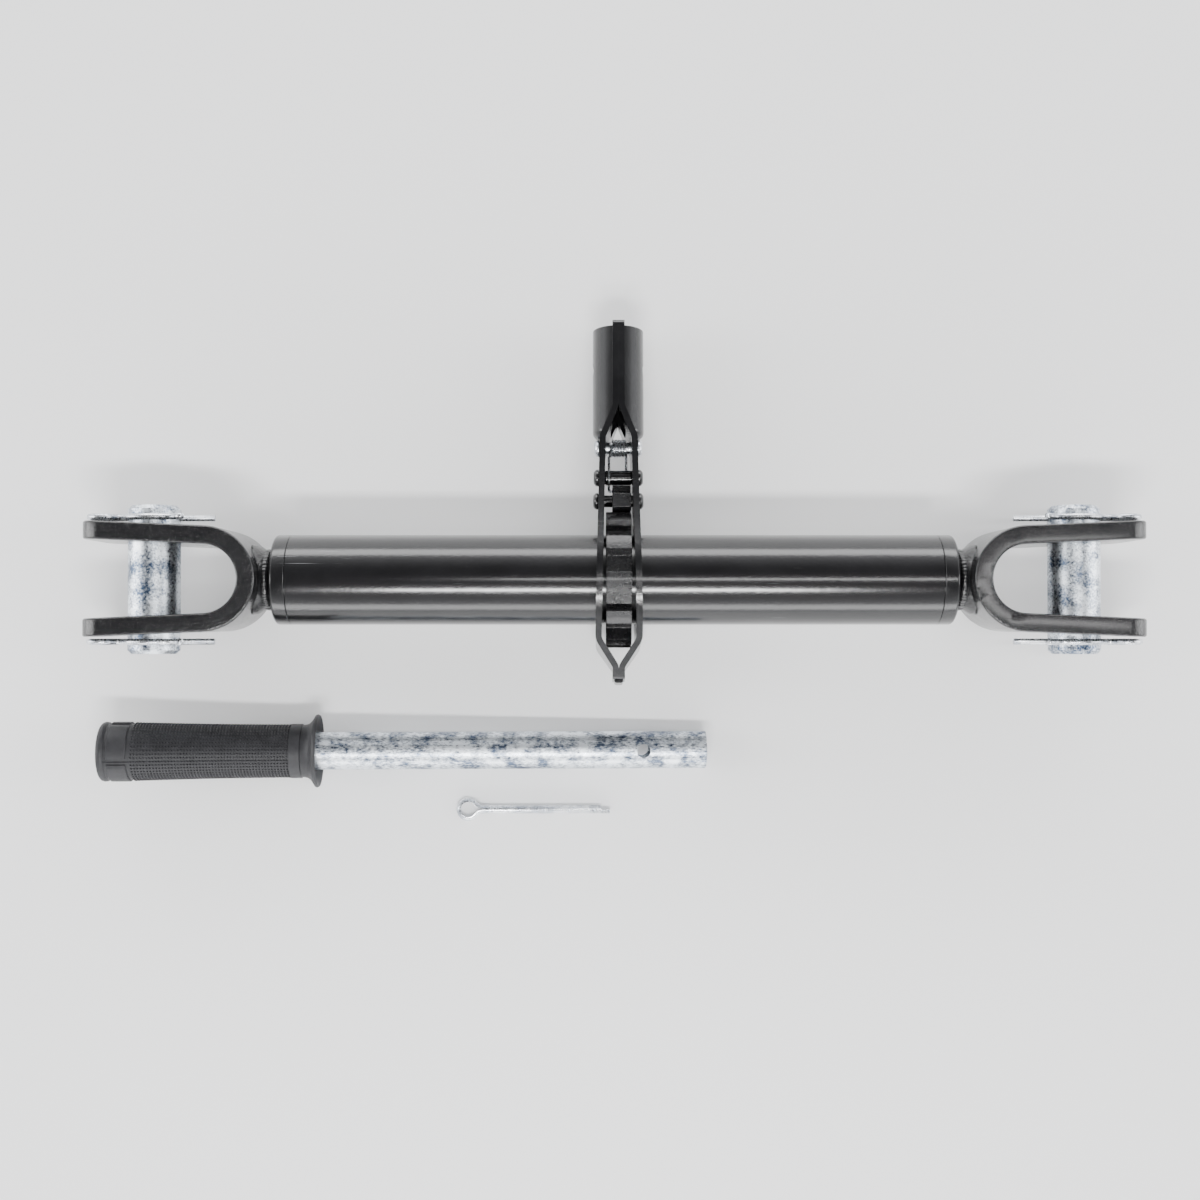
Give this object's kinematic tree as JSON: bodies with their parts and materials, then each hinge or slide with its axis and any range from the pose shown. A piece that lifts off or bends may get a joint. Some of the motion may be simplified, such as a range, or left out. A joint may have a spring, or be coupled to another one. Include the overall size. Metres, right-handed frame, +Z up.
{
  "type": "ratchet top link",
  "caption": "Ratcheting turnbuckle link: a threaded barrel turned by a ratchet arm moves two pinned strap clevises apart; loose socket handle and cotter pin beside it.",
  "frame": {"origin": "centre of the left clevis pin, the link screwed fully in", "axes": "+X along the barrel to the right clevis pin, +Y towards the side the ratchet arm points to, +Z up from the floor the set lies on"},
  "size_m": [0.5202, 0.2528, 0.076],
  "materials": {
    "black_paint": "gloss",
    "zinc_plate": "satin",
    "spring_wire": "gloss",
    "cast_teeth": "satin",
    "rubber_grip": "matte"
  },
  "bodies": {
    "ratchet_head": {"head_half_left": "black_paint", "head_half_right": "black_paint", "pawl_rivet": "black_paint", "spacer_rivet": "black_paint", "spring_rivet": "zinc_plate", "tip_weld": "black_paint", "pawl_spring": "spring_wire"},
    "barrel": {"barrel_tube": "black_paint", "left_end_nut": "black_paint", "right_end_nut": "black_paint", "ratchet_gear": "cast_teeth"},
    "pawl": {"pawl": "cast_teeth"},
    "left_end": {"left_rod": "black_paint", "left_weld": "black_paint", "left_clevis": "black_paint"},
    "right_end": {"right_rod": "black_paint", "right_weld": "black_paint", "right_clevis": "black_paint"},
    "left_pin": {"left_clevis_pin": "zinc_plate"},
    "right_pin": {"right_clevis_pin": "zinc_plate"},
    "left_upper_clip": {"left_upper_clip": "spring_wire"},
    "left_lower_clip": {"left_lower_clip": "spring_wire"},
    "right_upper_clip": {"right_upper_clip": "spring_wire"},
    "right_lower_clip": {"right_lower_clip": "spring_wire"},
    "handle": {"handle_tube": "zinc_plate", "handle_grip": "rubber_grip"},
    "handle_cotter": {"handle_cotter_pin": "spring_wire"}
  },
  "joints": [
    {"name": "barrel_spin", "type": "hinge", "parent": "ratchet_head", "child": "barrel", "pos_m": [0.2286, 0, 0], "axis": [1, 0, 0], "range_deg": [0, 8640]},
    {"name": "left_screw", "type": "slide", "parent": "ratchet_head", "child": "left_end", "axis": [-1, 0, 0], "range_m": [0, 0.102]},
    {"name": "right_screw", "type": "slide", "parent": "ratchet_head", "child": "right_end", "axis": [1, 0, 0], "range_m": [0, 0.102]},
    {"name": "pawl_rock", "type": "hinge", "parent": "ratchet_head", "child": "pawl", "pos_m": [0.2307, 0.03952, -0.00473], "axis": [1, 0, 0], "range_deg": [-28, 28], "deforming": ["pawl_spring"]},
    {"name": "left_pin_turn", "type": "hinge", "parent": "left_end", "child": "left_pin", "pos_m": [0, 0, 0], "axis": [0, 1, 0], "continuous": true},
    {"name": "right_pin_turn", "type": "hinge", "parent": "right_end", "child": "right_pin", "pos_m": [0.4572, 0, 0], "axis": [0, 1, 0], "continuous": true},
    {"name": "left_upper_clip_pull", "type": "slide", "parent": "left_pin", "child": "left_upper_clip", "axis": [-1, 0, 0], "range_m": [0, 0.065], "deforming": ["left_upper_clip"]},
    {"name": "left_lower_clip_pull", "type": "slide", "parent": "left_pin", "child": "left_lower_clip", "axis": [-1, 0, 0], "range_m": [0, 0.065], "deforming": ["left_lower_clip"]},
    {"name": "right_upper_clip_pull", "type": "slide", "parent": "right_pin", "child": "right_upper_clip", "axis": [1, 0, 0], "range_m": [0, 0.065], "deforming": ["right_upper_clip"]},
    {"name": "right_lower_clip_pull", "type": "slide", "parent": "right_pin", "child": "right_lower_clip", "axis": [1, 0, 0], "range_m": [0, 0.065], "deforming": ["right_lower_clip"]},
    {"name": "handle_lift", "type": "slide", "parent": "ratchet_head", "child": "handle", "axis": [0, 0, 1], "range_m": [0, 0.15]},
    {"name": "cotter_lift", "type": "slide", "parent": "ratchet_head", "child": "handle_cotter", "axis": [0, 0, 1], "range_m": [0, 0.15]}
  ],
  "couplings": [
    {"joint": "left_screw", "follows": "barrel_spin", "m_per_rad": 0.00067376},
    {"joint": "right_screw", "follows": "barrel_spin", "m_per_rad": 0.00067376}
  ]
}
